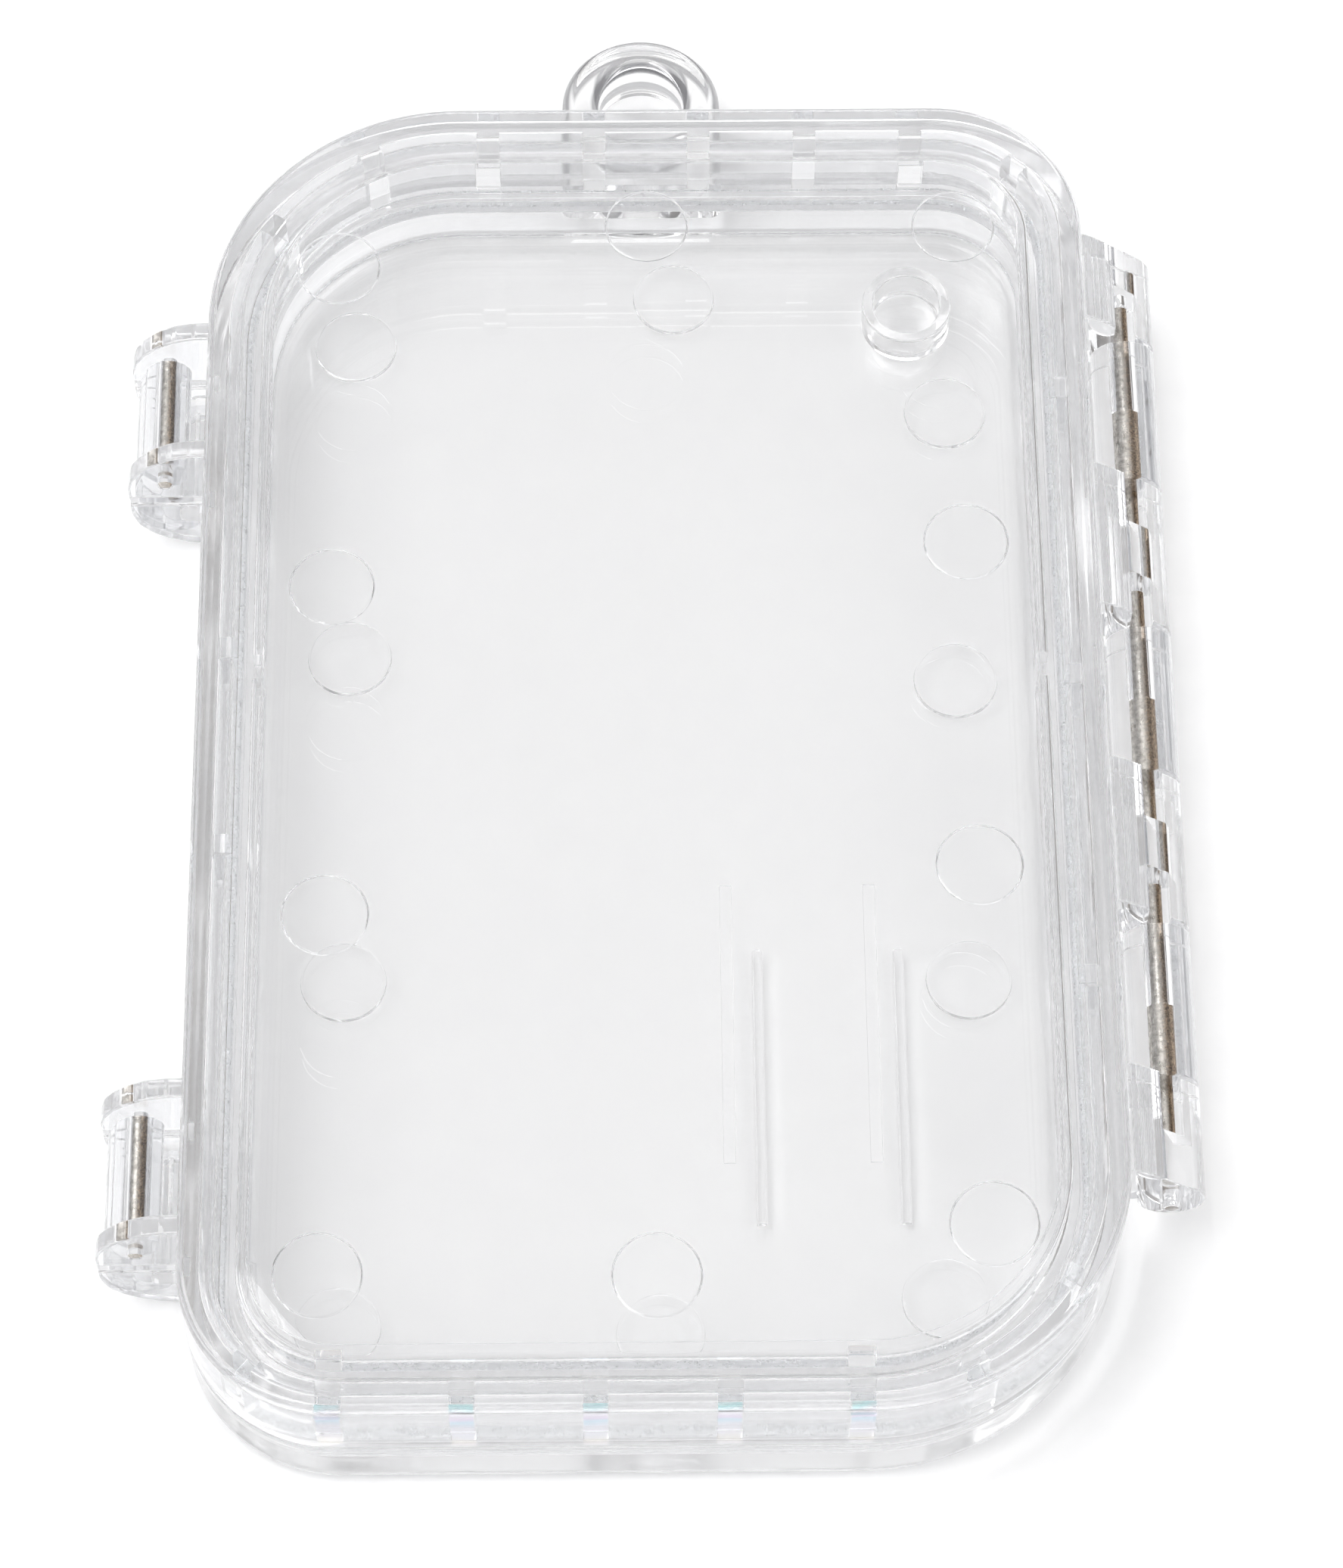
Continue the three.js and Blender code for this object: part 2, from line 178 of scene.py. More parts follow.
def rod(x, z, r, y0, y1, edge=0.0, steps=72, seg=4):
    """A round bar along Y with rounded ends."""
    prof = []
    if edge > 0:
        for k in range(seg + 1):
            a = math.pi / 2 * k / seg
            prof.append((r - edge + edge * math.sin(a), y0 + edge - edge * math.cos(a)))
        for k in range(seg + 1):
            a = math.pi / 2 * k / seg
            prof.append((r - edge + edge * math.cos(a), y1 - edge + edge * math.sin(a)))
    else:
        prof = [(r, y0), (r, y1)]
    bm = bmesh.new()
    rings = [[bm.verts.new((x + q * math.cos(2 * math.pi * k / steps), y, z + q * math.sin(2 * math.pi * k / steps)))
              for k in range(steps)] for q, y in prof]
    for a, b in zip(rings, rings[1:]):
        for k in range(steps):
            bm.faces.new((a[k], a[(k + 1) % steps], b[(k + 1) % steps], b[k]))
    bm.faces.new(rings[0]); bm.faces.new(rings[-1])
    return as_object(bm)


def plate(section, y0, y1, edge=0.0, seg=3):
    """A plate of constant section (x, z) from y0 to y1, with rounded end edges."""
    bm = bmesh.new()
    a = [bm.verts.new((x, y0, z)) for x, z in section]
    b = [bm.verts.new((x, y1, z)) for x, z in section]
    n = len(a)
    for k in range(n):
        bm.faces.new((a[k], a[(k + 1) % n], b[(k + 1) % n], b[k]))
    fa = bm.faces.new(a); fb = bm.faces.new(b)
    bmesh.ops.recalc_face_normals(bm, faces=bm.faces)
    if edge > 0:
        bmesh.ops.bevel(bm, geom=list(fa.edges) + list(fb.edges), offset=edge, segments=seg, profile=0.5,
                        affect="EDGES", clamp_overlap=True)
    return as_object(bm)


def block(x0, x1, y0, y1, z0, z1, edge=0.0, seg=2, spin=None):
    bm = bmesh.new()
    bmesh.ops.create_cube(bm, size=1.0)
    for v in bm.verts:
        v.co = Vector(((x0 + x1) / 2 + v.co.x * (x1 - x0), (y0 + y1) / 2 + v.co.y * (y1 - y0), (z0 + z1) / 2 + v.co.z * (z1 - z0)))
    if edge > 0:
        bmesh.ops.bevel(bm, geom=list(bm.edges), offset=edge, segments=seg, profile=0.5, affect="EDGES")
    if spin is not None:
        bmesh.ops.transform(bm, matrix=spin, verts=bm.verts)
    return as_object(bm)


def combine(a, b, op):
    """a op b with closed meshes; b is used up."""
    m = a.modifiers.new("b", "BOOLEAN")
    m.operation, m.solver, m.object = op, "MANIFOLD", b
    dg = bpy.context.evaluated_depsgraph_get()
    me = bpy.data.meshes.new_from_object(a.evaluated_get(dg))
    a.modifiers.clear()
    old = a.data
    a.data = me
    bpy.data.meshes.remove(old)
    drop(b)
    return a


def drop(o):
    me = o.data
    bpy.data.objects.remove(o, do_unlink=True)
    bpy.data.meshes.remove(me)


def add(a, *others):
    for o in others:
        combine(a, o, "UNION")
    return a


def cut(a, *others):
    for o in others:
        combine(a, o, "DIFFERENCE")
    return a


def merged(objs):
    """Several separate solids as one mesh."""
    bm = bmesh.new()
    for o in objs:
        bm.from_mesh(o.data)
        drop(o)
    me = bpy.data.meshes.new("tmp")
    bm.to_mesh(me)
    bm.free()
    o = bpy.data.objects.new("tmp", me)
    bpy.context.collection.objects.link(o)
    return o


def finish_mesh(o, name, angle=32):
    """To metres, with smooth shading that keeps flats flat."""
    me = o.data
    bm = bmesh.new()
    bm.from_mesh(me)
    bmesh.ops.remove_doubles(bm, verts=bm.verts, dist=2e-4)
    bmesh.ops.dissolve_degenerate(bm, dist=1e-4, edges=bm.edges)
    bmesh.ops.scale(bm, vec=(MM, MM, MM), verts=bm.verts)
    bm.to_mesh(me)
    bm.free()
    me.shade_smooth()
    me.set_sharp_from_angle(angle=math.radians(angle))
    o.name = name
    me.name = name
    w = o.modifiers.new("flats", "WEIGHTED_NORMAL")
    w.mode, w.weight, w.keep_sharp = "FACE_AREA", 50, True
    dg = bpy.context.evaluated_depsgraph_get()
    new = bpy.data.meshes.new_from_object(o.evaluated_get(dg))
    o.modifiers.clear()
    o.data = new
    bpy.data.meshes.remove(me)
    new.name = name
    new.materials.clear()
    return o


# ---------------------------------------------------------------- the two shells
def disc(x, y, r, z0, z1, up=True, edge=0.1, draft=0.12, ring=0.0):
    """A low round step that stands on a flat, up or down, with a drafted rim; ring raises the thin witness line that an ejector pin leaves."""
    s = 1 if up else -1
    base, top = (z0, z1) if up else (z1, z0)
    crown = [(r - draft, top, edge, 3)]
    if ring:
        crown = [(r - draft, top + s * ring, edge, 2), (r - draft - 0.10, top + s * ring, edge, 2), (r - 2 * draft - 0.10, top)]
    prof = rounded([(0, base - s * 0.6), (r, base - s * 0.6), (r, base), *crown, (0, top)], closed=False)
    return lathe(x, y, prof, steps=64)


def rim_ribs(z0, z1):
    h, parts = RIB_W / 2, []
    for x in TOP_RIBS:
        parts.append(block(x - h, x + h, HALF_L - 3.1, HALF_L - 1.2, z0, z1, 0.12))
    for x in BOTTOM_RIBS:
        parts.append(block(x - h, x + h, -HALF_L + 1.2, -HALF_L + 3.1, z0, z1, 0.12))
    for y in LEFT_RIBS:
        parts.append(block(-HALF_W + 1.2, -HALF_W + 3.1, y - h, y + h, z0, z1, 0.12))
    for y in RIGHT_RIBS:
        parts.append(block(HALF_W - 3.1, HALF_W - 1.2, y - h, y + h, z0, z1, 0.12))
    for sx, sy, radius, angles in CORNER_RIBS:
        for angle in angles:
            spin = Matrix.Translation((sx * (HALF_W - radius), sy * (HALF_L - radius), 0)) @ Matrix.Rotation(
                math.radians(-sx * sy * angle) + (math.pi if sy < 0 else 0), 4, "Z")
            parts.append(block(-h, h, radius - 3.1, radius - 1.2, z0, z1, 0.12, spin=spin))
    return parts


def loop_solid():
    """The hanging loop: a flat eye with rounded edges on two short legs."""
    L, rd, seg = LOOP, LOOP["round"], 7
    steps = 40
    bm = bmesh.new()

    def outer(d):
        r = L["r"] - d
        pts = [(L["x"] + r, HALF_L - 1.0)]
        for k in range(steps + 1):
            a = math.pi * k / steps
            pts.append((L["x"] + r * math.cos(a), L["y"] + r * math.sin(a)))
        pts.append((L["x"] - r, HALF_L - 1.0))
        return pts

    levels = []
    for k in range(seg + 1):
        a = math.pi / 2 * k / seg
        levels.append((rd * (1 - math.sin(a)), L["z0"] + rd * (1 - math.cos(a))))
    for k in range(seg + 1):
        a = math.pi / 2 * k / seg
        levels.append((rd * (1 - math.cos(a)), L["z1"] - rd * (1 - math.sin(a))))
    rings = [[bm.verts.new((x, y, z)) for x, y in outer(d)] for d, z in levels]
    n = len(rings[0])
    for a, b in zip(rings, rings[1:]):
        for k in range(n):
            bm.faces.new((a[k], a[(k + 1) % n], b[(k + 1) % n], b[k]))
    bm.faces.new(rings[0]); bm.faces.new(rings[-1])
    body = as_object(bm)
    hr = L["hole"]
    prof = [(0, L["z0"] - 1), (hr + rd + 0.4, L["z0"] - 1)]
    for k in range(seg + 1):
        a = math.pi / 2 * k / seg
        prof.append((hr + rd * (1 - math.sin(a)), L["z0"] + rd * (1 - math.cos(a))))
    for k in range(seg + 1):
        a = math.pi / 2 * k / seg
        prof.append((hr + rd * (1 - math.cos(a)), L["z1"] - rd * (1 - math.sin(a))))
    prof += [(hr + rd + 0.4, L["z1"] + 1), (0, L["z1"] + 1)]
    prof[1] = (hr + rd, L["z0"] - 1)
    prof[-2] = (hr + rd, L["z1"] + 1)
    return cut(body, lathe(L["x"], L["y"], prof, steps=64))


def build_rear():
    f = FLOOR_FILLET
    profile = rounded([
        (6.5, 0), (0, 0, BACK_ROUND, 9), (0, REAR_TOP, 0.16, 3), (GROOVE_OUT, REAR_TOP, 0.1, 2), (GROOVE_OUT, GROOVE_FLOOR, 0.25, 3),
        (GROOVE_IN, GROOVE_FLOOR, 0.25, 3), (GROOVE_IN, REAR_TOP, 0.1, 2), (RIM, REAR_TOP, 0.16, 3), (RIM, SKIN, f, 8), (6.5, SKIN)],
        closed=False)
    s = swept(profile)
    s = add(s, loop_solid())
    lug = rounded([(-33, REAR_TOP), (LUG_X, REAR_TOP, 0.2, 3), (LUG_X, 5.6, 3, 3), (-39.9, 4.0, 2, 3), (-39.0, 2.8, 2, 3), (-37.8, 1.9, 2, 3),
                   (-36.2, 1.25, 2, 3), (-34.5, 1.0, 2, 2), (-33, 1.0)])
    bar = rounded([(-33, 6.3), (-35.6, 6.1, 0.6, 3), (-36.7, 5.3, 0.6, 3), (-36.7, 3.9, 0.3, 3), (-36.2, 3.6, 0.3, 2), (-33, 3.6)])
    for y in LATCH_Y.values():
        s = add(s, plate(lug, y + LUG_GAP, y + LUG_HALF, 0.18), plate(lug, y - LUG_HALF, y - LUG_GAP, 0.18),
                plate(bar, y - LUG_GAP - 0.5, y + LUG_GAP + 0.5))
    arm = rounded([(32.5, 6.9), (35.2, 6.9), (36.8, 8.2), (39.6, 6.2), (38.9, 4.6, 1, 3), (36.6, 3.0, 2, 3), (34.6, 1.5, 1.2, 3), (32.5, 1.5)])
    for k in (1, 3, 5):
        y1, y0 = KNUCKLES[k] - 0.15, KNUCKLES[k + 1] + 0.15
        s = add(s, add(rod(HINGE_X, HINGE_Z, HINGE_R, y0, y1, 0.15), plate(arm, y0, y1, 0.15)))
    s = cut(s, swept_cavity_guard())
    for k, (grip, _) in zip((1, 3, 5), TIGHT_BORES):
        s = cut(s, rod(HINGE_X, HINGE_Z, HINGE_PIN_R + 0.05, grip, KNUCKLES[k] + 1, 0.3))
        s = cut(s, rod(HINGE_X, HINGE_Z, HINGE_PIN_R - 0.03, KNUCKLES[k + 1] - 1, grip + 0.5))
    pads = merged([disc(x, y, 3.25, SKIN, SKIN + 0.2, True, edge=0.03, draft=0.06, ring=0.10) for x, y in FLOOR_PADS])
    s = add(s, pads)
    ridge = []
    for x, y in RIBS:
        sec = [(-0.42, -0.4), (-0.42, 0.0)] + [(-0.36 * math.cos(math.pi * k / 10), 0.08 + 0.42 * math.sin(math.pi * k / 10)) for k in range(11)] + [(0.42, 0.0), (0.42, -0.4)]
        ridge.append(plate([(x + u, SKIN + v) for u, v in sec], y - 11.1, y + 11.1, 0.06))
    s = add(s, merged(ridge))
    b = BOSS
    prof = rounded([(0, SKIN - 0.5), (b["r"], SKIN - 0.5), (b["r"], b["z"], 0.2, 3), (b["hole"], b["z"], 0.2, 3), (b["hole"], SKIN + 0.02, 0.2, 3), (0, SKIN + 0.02)], closed=False)
    s = add(s, lathe(b["x"], b["y"], prof, steps=72))
    return s


def swept_cavity_guard():
    """Clears anything that the arms and lugs push past the outer wall into the seal groove."""
    return swept_ring([(GROOVE_OUT + 0.02, GROOVE_FLOOR + 0.3), (GROOVE_IN - 0.02, GROOVE_FLOOR + 0.3), (GROOVE_IN - 0.02, 9), (GROOVE_OUT + 0.02, 9)])


def build_cover():
    z = THICK - SKIN
    top = THICK - WINDOW_STEP
    profile = rounded([
        (6.5, top), (WINDOW_INSET + 0.05, top, 0.1, 2), (WINDOW_INSET - 0.05, THICK, 0.12, 3), (0, THICK, FRONT_ROUND, 6), (0, COVER_BOTTOM, 0.16, 3),
        (OUTER_WALL - 0.04, COVER_BOTTOM, 0.1, 2), (OUTER_WALL + 0.04, z, 0.3, 3), (INNER_WALL_OUT - 0.04, z, 0.3, 3), (INNER_WALL_OUT + 0.04, COVER_BOTTOM, 0.1, 2),
        (RIM, COVER_BOTTOM, 0.16, 3), (RIM, z, 0.5, 4), (6.5, z)], closed=False)
    s = swept(profile)
    s = add(s, merged(rim_ribs(COVER_BOTTOM + 0.3, z + 0.5)))
    lug = rounded([(-32.8, COVER_BOTTOM), (-32.8, 14.6), (-35.2, 14.5, 2, 3), (-36.8, 14.1, 2, 3), (-38.2, 13.2, 2, 3), (-39.3, 12.1, 2, 3), (-40.0, 10.9, 2, 3),
                   (LUG_X, 9.4, 3, 3), (LUG_X, COVER_BOTTOM, 0.2, 3)])
    for y in LATCH_Y.values():
        s = add(s, plate(lug, y + LUG_GAP, y + LUG_HALF, 0.18), plate(lug, y - LUG_HALF, y - LUG_GAP, 0.18))
    arm = rounded([(33.0, 7.7), (37.5, 7.7), (39.6, 8.9), (39.0, 9.6), (35.4, 12.6, 1, 3), (34.4, 13.2, 1, 3), (33.0, 13.2)])
    for k in (0, 2, 4, 6):
        y1 = KNUCKLES[k] if k == 0 else KNUCKLES[k] - 0.15
        y0 = KNUCKLES[k + 1] if k == 6 else KNUCKLES[k + 1] + 0.15
        s = add(s, add(rod(HINGE_X, HINGE_Z, HINGE_R, y0, y1, 0.15), plate(arm, y0, y1, 0.15)))
    s = cut(s, rod(HINGE_X, HINGE_Z, HINGE_PIN_R + 0.06, HINGE_PIN_Y[0] - 0.1, HINGE_PIN_Y[1] + 0.1, 0.25))
    s = cut(s, merged([block(*PIN_WINDOW_X, lo, hi, HINGE_Z - 0.15, 15.0) for hi, lo in PIN_WINDOWS]))
    for y in LATCH_Y.values():
        s = cut(s, rod(LATCH_X, LATCH_Z, LATCH_PIN_R + 0.05, y - 7, y + 7))
    s = add(s, merged([disc(x, y, 3.25, z, z - 0.15, False, edge=0.08, draft=0.14) for x, y in WINDOW_MARKS]))
    s = add(s, merged([block(x - 0.44, x + 0.44, y - 11, y + 11, z - 0.15, z + 0.5, 0.04) for x, y in BARS]))
    cx, cy, d, w = HALF_W - RIM, HALF_L - RIM, 0.9, 1.0
    parts = []
    for p, side in LOCATORS:
        lo = {"top": (p - w, p + w, cy - d, cy + 0.5), "bottom": (p - w, p + w, -cy - 0.5, -cy + d),
              "left": (-cx - 0.5, -cx + d, p - w, p + w), "right": (cx - d, cx + 0.5, p - w, p + w)}[side]
        parts.append(block(*lo, 10.2, z + 0.5, 0.15))
    return add(s, merged(parts))


def build_latch(y):
    lever = rounded([(-38.4, 11.2), (-39.3, 10.2, 1.5, 3), (-39.85, 8.6, 3, 3), (-40.05, 6.6, 4, 3), (-40.05, 4.6, 3, 3), (-39.8, 3.0, 2, 3), (-39.2, 1.9, 1, 3),
                     (-38.2, 1.4, 1, 3), (-36.4, 1.6, 1.2, 3), (-35.5, 2.1, 0.5, 3), (-35.3, 2.7, 0.3, 3), (-35.3, 3.2, 0.15, 2), (-37.3, 3.2, 0.3, 3), (-37.9, 3.9, 0.5, 3),
                     (-38.0, 5.0, 2, 3), (-38.0, 7.0, 3, 3), (-37.4, 8.6, 2, 3), (-36.4, 9.6)])
    s = add(rod(LATCH_X, LATCH_Z, LATCH_R, y - LATCH_HALF, y + LATCH_HALF, 0.15), plate(lever, y - LATCH_HALF, y + LATCH_HALF, 0.15))
    return cut(s, rod(LATCH_X, LATCH_Z, LATCH_PIN_R + 0.05, y - 7, y + 7))


# ---------------------------------------------------------------- materials
def material(name):
    m = bpy.data.materials.new(name)
    m.use_nodes = True
    nt = m.node_tree
    bsdf = nt.nodes["Principled BSDF"]
    return m, nt, bsdf


def node(nt, kind, **kw):
    n = nt.nodes.new(kind)
    for k, v in kw.items():
        setattr(n, k, v)
    return n


def noise_tex(nt, coords, scale, detail=4.0, rough=0.5, stretch=None):
    src = coords
    if stretch:
        mp = node(nt, "ShaderNodeMapping")
        mp.inputs["Scale"].default_value = stretch
        nt.links.new(coords, mp.inputs["Vector"])
        src = mp.outputs["Vector"]
    t = node(nt, "ShaderNodeTexNoise")
    t.inputs["Scale"].default_value = scale
    t.inputs["Detail"].default_value = detail
    t.inputs["Roughness"].default_value = rough
    nt.links.new(src, t.inputs["Vector"])
    return t.outputs["Fac"]


def remap(nt, src, a, b, lo, hi):
    r = node(nt, "ShaderNodeMapRange")
    r.inputs["From Min"].default_value = a
    r.inputs["From Max"].default_value = b
    r.inputs["To Min"].default_value = lo
    r.inputs["To Max"].default_value = hi
    nt.links.new(src, r.inputs["Value"])
    return r.outputs["Result"]


def math_node(nt, op, a, b):
    m = node(nt, "ShaderNodeMath", operation=op)
    for i, v in enumerate((a, b)):
        if isinstance(v, (int, float)):
            m.inputs[i].default_value = v
        else:
            nt.links.new(v, m.inputs[i])
    return m.outputs[0]


def clear_plastic(name, tint, haze=(0.004, 0.02), wave=0.0025, edge=None, painted_shade_spread=(0.3, 0.75)):
    """Water-clear moulding: a gloss that handling has dulled in patches, faint flow waviness, and on the small thick
    parts a painted shade, a greyer base colour on the sloping rounded faces, set by the surface normal.
    """
    m, nt, b = material(name)
    b.inputs["Base Color"].default_value = (*tint, 1)
    b.inputs["Transmission Weight"].default_value = 1.0
    b.inputs["IOR"].default_value = 1.53
    # painted shade: the base colour turns grey on faces between flat and upright, chosen by the normal, in place of the
    # shade on rounded edges
    if edge is not None:
        painted_shade_lean = node(nt, "ShaderNodeSeparateXYZ")
        nt.links.new(node(nt, "ShaderNodeTexCoord").outputs["Normal"], painted_shade_lean.inputs[0])
        ramp = node(nt, "ShaderNodeValToRGB")
        ramp.color_ramp.elements[0].position, ramp.color_ramp.elements[0].color = 0.05, (*tint, 1)
        ramp.color_ramp.elements[1].position, ramp.color_ramp.elements[1].color = 0.97, (*tint, 1)
        for at in painted_shade_spread:
            e = ramp.color_ramp.elements.new(at)
            e.color = (*edge, 1)
        nt.links.new(math_node(nt, "ABSOLUTE", painted_shade_lean.outputs["Z"], 0), ramp.inputs["Fac"])
        nt.links.new(ramp.outputs["Color"], b.inputs["Base Color"])
    co = node(nt, "ShaderNodeTexCoord").outputs["Object"]
    smear = noise_tex(nt, co, 140.0, 1.0)
    nt.links.new(remap(nt, smear, 0.42, 0.72, *haze), b.inputs["Roughness"])
    flow = noise_tex(nt, co, 70.0, 0.0)
    bump = node(nt, "ShaderNodeBump")
    bump.inputs["Strength"].default_value = wave
    bump.inputs["Distance"].default_value = 0.001
    nt.links.new(flow, bump.inputs["Height"])
    nt.links.new(bump.outputs["Normal"], b.inputs["Normal"])
    return m


def walls_with_painted_glints(name):
    """The moulding's upright walls. Where the near end's cross ribs stand behind them, pale coloured bands are painted
    into the base colour as glints, in place of light that the ribs split.
    """
    m = clear_plastic(name, (1, 1, 1), haze=(0.04, 0.07))
    nt, b = m.node_tree, m.node_tree.nodes["Principled BSDF"]
    co = node(nt, "ShaderNodeTexCoord").outputs["Object"]
    sep = node(nt, "ShaderNodeSeparateXYZ")
    nt.links.new(co, sep.inputs[0])
    drift = math_node(nt, "MULTIPLY", math_node(nt, "SUBTRACT", noise_tex(nt, co, 150.0, 2.0), 0.5), 0.0035)
    # painted glints: cyan, violet and amber bands up the wall by height, laid only over the ribs
    ramp = node(nt, "ShaderNodeValToRGB")
    cr = ramp.color_ramp
    cr.elements[0].position, cr.elements[0].color = 0.0, (1, 1, 1, 1)
    cr.elements[1].position, cr.elements[1].color = 1.0, (0.80, 1.0, 0.94, 1)
    for at, c in ((0.18, (1.0, 0.93, 0.84)), (0.34, (0.90, 0.89, 0.98)), (0.55, (0.86, 0.86, 0.97)), (0.68, (0.50, 0.78, 1.0)), (0.76, (0.82, 0.68, 0.97)),
                  (0.84, (0.90, 0.84, 1.0)), (0.91, (0.95, 0.93, 1.0)), (0.96, (0.48, 0.96, 1.0))):
        e = cr.elements.new(at)
        e.color = (*c, 1)
    nt.links.new(remap(nt, math_node(nt, "ADD", sep.outputs["Z"], drift), 0.0075, 0.015, 0.0, 1.0), ramp.inputs["Fac"])
    # a mask over each rib: the distance in X from the nearest one of an evenly spaced row
    pitch = 9.4 * MM
    shifted = math_node(nt, "ADD", sep.outputs["X"], 23.2 * MM + 10.5 * pitch)
    off = math_node(nt, "ABSOLUTE", math_node(nt, "SUBTRACT", math_node(nt, "MODULO", shifted, pitch), pitch / 2), 0)
    over = remap(nt, off, 0.80 * MM, 0.92 * MM, 1.0, 0.0)
    near = remap(nt, sep.outputs["Y"], -54.0 * MM, -53.6 * MM, 1.0, 0.0)
    within = remap(nt, math_node(nt, "ABSOLUTE", math_node(nt, "ADD", sep.outputs["X"], 4.4 * MM), 0), 20.0 * MM, 20.2 * MM, 1.0, 0.0)
    above = remap(nt, sep.outputs["Z"], 7.45 * MM, 8.2 * MM, 0.0, 1.0)
    mask = math_node(nt, "MULTIPLY", math_node(nt, "MULTIPLY", over, near), math_node(nt, "MULTIPLY", within, above))
    mix = node(nt, "ShaderNodeMix", data_type="RGBA")
    a_in = [i for i in mix.inputs if i.name == "A" and i.type == "RGBA"][0]
    b_in = [i for i in mix.inputs if i.name == "B" and i.type == "RGBA"][0]
    # painted shade: the side walls take a darker tint than the window, though they are the same plastic
    a_in.default_value = (0.872, 0.876, 0.886, 1)
    nt.links.new(mask, mix.inputs["Factor"])
    nt.links.new(ramp.outputs["Color"], b_in)
    nt.links.new([o for o in mix.outputs if o.type == "RGBA"][0], b.inputs["Base Color"])
    return m


def steel(name):
    """Drawn wire that has dulled: a fine sparkling grain, streaks along Y, and painted light and shade: a paler base
    colour on the side turned to -X, towards the key light, and a darker brownish one on the side turned to +X, away
    from the latches.
    """
    m, nt, b = material(name)
    b.inputs["Metallic"].default_value = 1.0
    tc = node(nt, "ShaderNodeTexCoord")
    co = tc.outputs["Object"]
    streak = noise_tex(nt, co, 5200.0, 2.0, 0.6, (1.0, 0.12, 1.0))
    grain = noise_tex(nt, co, 7800.0, 3.0, 0.7)
    stain = noise_tex(nt, co, 2400.0, 4.0, 0.7)
    painted_lit_side = node(nt, "ShaderNodeValToRGB")
    painted_lit_side.color_ramp.elements[0].position, painted_lit_side.color_ramp.elements[0].color = 0.35, (0.34, 0.315, 0.285, 1)
    painted_lit_side.color_ramp.elements[1].position, painted_lit_side.color_ramp.elements[1].color = 0.62, (0.74, 0.71, 0.665, 1)
    nt.links.new(stain, painted_lit_side.inputs["Fac"])
    painted_shade_brown = node(nt, "ShaderNodeValToRGB")
    painted_shade_brown.color_ramp.elements[0].position, painted_shade_brown.color_ramp.elements[0].color = 0.38, (0.10, 0.065, 0.045, 1)
    painted_shade_brown.color_ramp.elements[1].position, painted_shade_brown.color_ramp.elements[1].color = 0.66, (0.52, 0.40, 0.28, 1)
    nt.links.new(grain, painted_shade_brown.inputs["Fac"])
    # painted light and shade: the base colour goes from the paler ramp on faces turned to -X to the darker brownish
    # ramp on faces turned to +X, broken up by the stain noise
    side = node(nt, "ShaderNodeSeparateXYZ")
    nt.links.new(tc.outputs["Normal"], side.inputs[0])
    painted_shade_lean = math_node(nt, "ADD", side.outputs["X"], math_node(nt, "MULTIPLY", math_node(nt, "SUBTRACT", stain, 0.5), 1.1))
    mix = node(nt, "ShaderNodeMix", data_type="RGBA")
    ins = {i.name: i for i in mix.inputs if i.type == "RGBA"}
    nt.links.new(remap(nt, painted_shade_lean, -0.08, 0.42, 0.0, 1.0), mix.inputs["Factor"])
    nt.links.new(painted_lit_side.outputs["Color"], ins["A"])
    nt.links.new(painted_shade_brown.outputs["Color"], ins["B"])
    nt.links.new([o for o in mix.outputs if o.type == "RGBA"][0], b.inputs["Base Color"])
    nt.links.new(remap(nt, streak, 0.3, 0.75, 0.20, 0.42), b.inputs["Roughness"])
    bump = node(nt, "ShaderNodeBump")
    bump.inputs["Strength"].default_value = 0.7
    bump.inputs["Distance"].default_value = 0.00003
    nt.links.new(math_node(nt, "ADD", math_node(nt, "MULTIPLY", streak, 0.5), grain), bump.inputs["Height"])
    nt.links.new(bump.outputs["Normal"], b.inputs["Normal"])
    return m


def silicone(name):
    """Frosted translucent seal with a grainy, beaded skin."""
    m, nt, b = material(name)
    b.inputs["Base Color"].default_value = (0.95, 0.96, 0.97, 1)
    b.inputs["Transmission Weight"].default_value = 0.75
    b.inputs["IOR"].default_value = 1.41
    co = node(nt, "ShaderNodeTexCoord").outputs["Object"]
    grain = noise_tex(nt, co, 1500.0, 3.0, 0.7)
    nt.links.new(remap(nt, grain, 0.35, 0.65, 0.18, 0.5), b.inputs["Roughness"])
    bump = node(nt, "ShaderNodeBump")
    bump.inputs["Strength"].default_value = 0.6
    bump.inputs["Distance"].default_value = 0.0001
    nt.links.new(grain, bump.inputs["Height"])
    nt.links.new(bump.outputs["Normal"], b.inputs["Normal"])
    return m


def floor_material():
    m, nt, b = material("stage_floor")
    co = node(nt, "ShaderNodeTexCoord").outputs["Object"]
    t = noise_tex(nt, co, 400.0, 5.0, 0.6)
    ramp = node(nt, "ShaderNodeValToRGB")
    ramp.color_ramp.elements[0].color = (0.86, 0.86, 0.865, 1)
    ramp.color_ramp.elements[1].color = (0.90, 0.90, 0.90, 1)
    nt.links.new(t, ramp.inputs["Fac"])
    nt.links.new(ramp.outputs["Color"], b.inputs["Base Color"])
    b.inputs["Roughness"].default_value = 0.9
    b.inputs["Specular IOR Level"].default_value = 0.1
    return m


SHELL = clear_plastic("clear_shell", (0.930, 0.930, 0.931))
# painted shade: the rim, side walls and satin channel are the same plastic as the window in darker tints, which stand
# in for the grey these thick parts take from the light
RIM_CLEAR = clear_plastic("clear_rim", (0.905, 0.905, 0.908))
SIDES = walls_with_painted_glints("clear_sides")
SATIN = clear_plastic("satin_channel", (0.885, 0.886, 0.892), haze=(0.10, 0.16))
# painted shade: the loop's rounded edges get a dark grey base colour
LOOP_CLEAR = clear_plastic("clear_loop", (0.99, 0.99, 0.99), edge=(0.24, 0.24, 0.25), painted_shade_spread=(0.20, 0.86))
